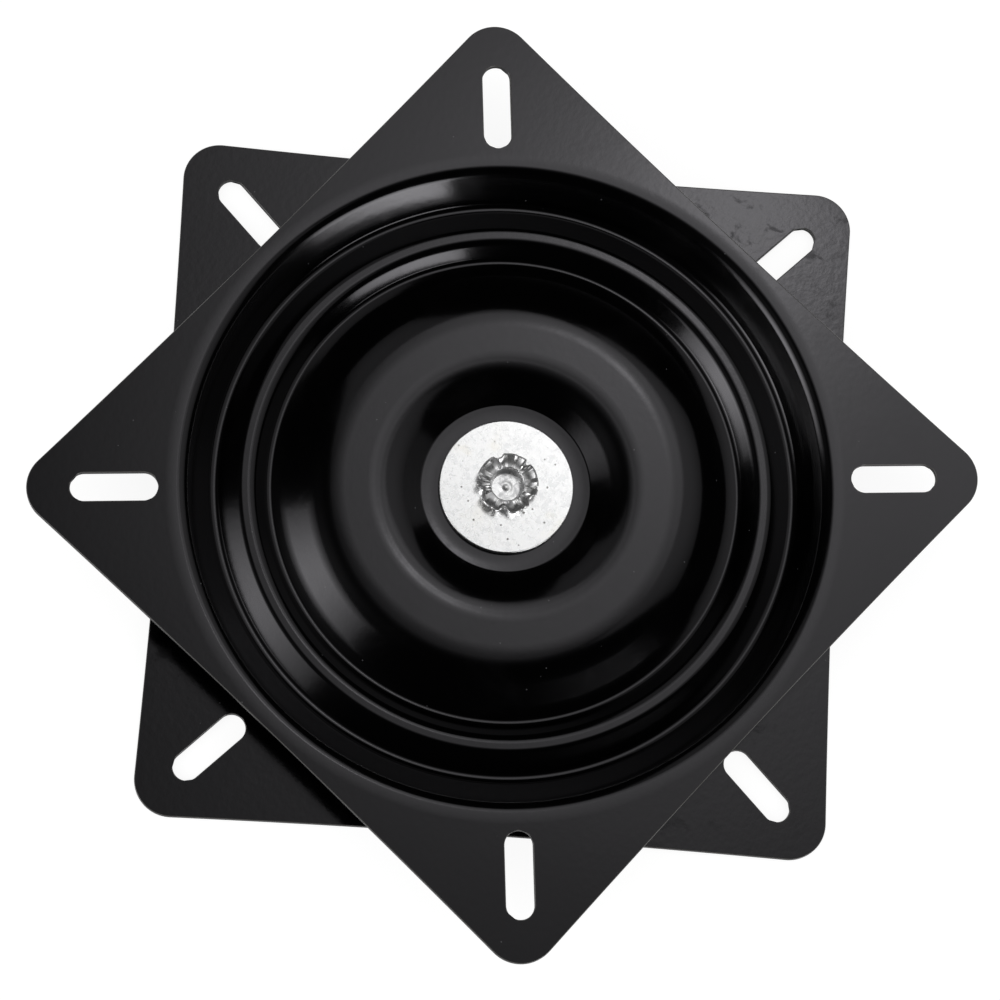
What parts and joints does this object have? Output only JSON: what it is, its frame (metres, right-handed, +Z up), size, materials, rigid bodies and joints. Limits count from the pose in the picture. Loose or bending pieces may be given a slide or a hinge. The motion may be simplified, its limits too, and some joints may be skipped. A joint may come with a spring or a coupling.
{
  "type": "lazy susan bearing",
  "caption": "Square swivel bearing: a dished top plate turns on a ring of steel balls over a matching base plate, held by a central rivet, with a fixing slot at each corner.",
  "frame": {"origin": "on the swivel axis, at the underside of the base plate", "axes": "+Z up along the swivel axis; the base plate's corners and slots lie on X and Y; the top plate is turned 39.9 degrees back from it about Z at rest"},
  "size_m": [0.2438, 0.2438, 0.0216],
  "materials": {
    "black_paint": "satin black paint",
    "zinc_plate": "bright zinc plate",
    "ball_steel": "polished steel, greased",
    "nylon": "natural nylon"
  },
  "bodies": {
    "base": {"base_plate": "black_paint", "centre_rivet": "zinc_plate", "top_washer": "zinc_plate", "bottom_washer": "zinc_plate", "spacer_washer": "nylon"},
    "top": {"top_plate": "black_paint"},
    "ball_ring": {"ball_01": "ball_steel", "ball_02": "ball_steel", "ball_03": "ball_steel", "ball_04": "ball_steel", "ball_05": "ball_steel", "ball_06": "ball_steel", "ball_07": "ball_steel", "ball_08": "ball_steel", "ball_09": "ball_steel", "ball_10": "ball_steel", "ball_11": "ball_steel", "ball_12": "ball_steel", "ball_13": "ball_steel", "ball_14": "ball_steel", "ball_15": "ball_steel", "ball_16": "ball_steel", "ball_17": "ball_steel", "ball_18": "ball_steel", "ball_19": "ball_steel", "ball_20": "ball_steel", "ball_21": "ball_steel", "ball_22": "ball_steel", "ball_23": "ball_steel", "ball_24": "ball_steel", "ball_25": "ball_steel", "ball_26": "ball_steel", "ball_27": "ball_steel", "ball_28": "ball_steel", "ball_29": "ball_steel", "ball_30": "ball_steel", "ball_31": "ball_steel", "ball_32": "ball_steel", "ball_33": "ball_steel", "ball_34": "ball_steel", "ball_35": "ball_steel", "ball_36": "ball_steel", "ball_37": "ball_steel", "ball_38": "ball_steel", "ball_39": "ball_steel", "ball_40": "ball_steel", "ball_41": "ball_steel", "ball_42": "ball_steel", "ball_43": "ball_steel"}
  },
  "joints": [
    {"name": "swivel", "type": "hinge", "parent": "base", "child": "top", "pos_m": [0, 0, 0], "axis": [0, 0, 1], "continuous": true},
    {"name": "ball_orbit", "type": "hinge", "parent": "base", "child": "ball_ring", "pos_m": [0, 0, 0], "axis": [0, 0, 1], "continuous": true}
  ],
  "couplings": [
    {"joint": "ball_orbit", "follows": "swivel", "ratio": 0.5}
  ]
}
